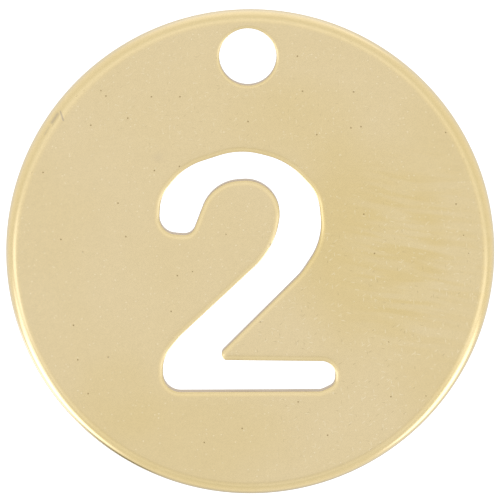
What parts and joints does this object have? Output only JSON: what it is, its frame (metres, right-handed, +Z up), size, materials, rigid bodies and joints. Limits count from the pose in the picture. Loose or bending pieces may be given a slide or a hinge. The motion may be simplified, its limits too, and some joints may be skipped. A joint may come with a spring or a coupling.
{
  "type": "numbered hanging token",
  "caption": "Polished brass disc token with a rounded rim, a round hanging hole near its top and a numeral cut right through its face.",
  "frame": {"origin": "centre of the hanging hole, halfway through the thickness", "axes": "+Z up as the token hangs, -Y out of the readable front face, +X to the reader's right"},
  "size_m": [0.0301, 0.0012, 0.03],
  "materials": {
    "brass": "polished, softly worn"
  },
  "bodies": {
    "root": {"token_disc": "brass"}
  },
  "joints": []
}
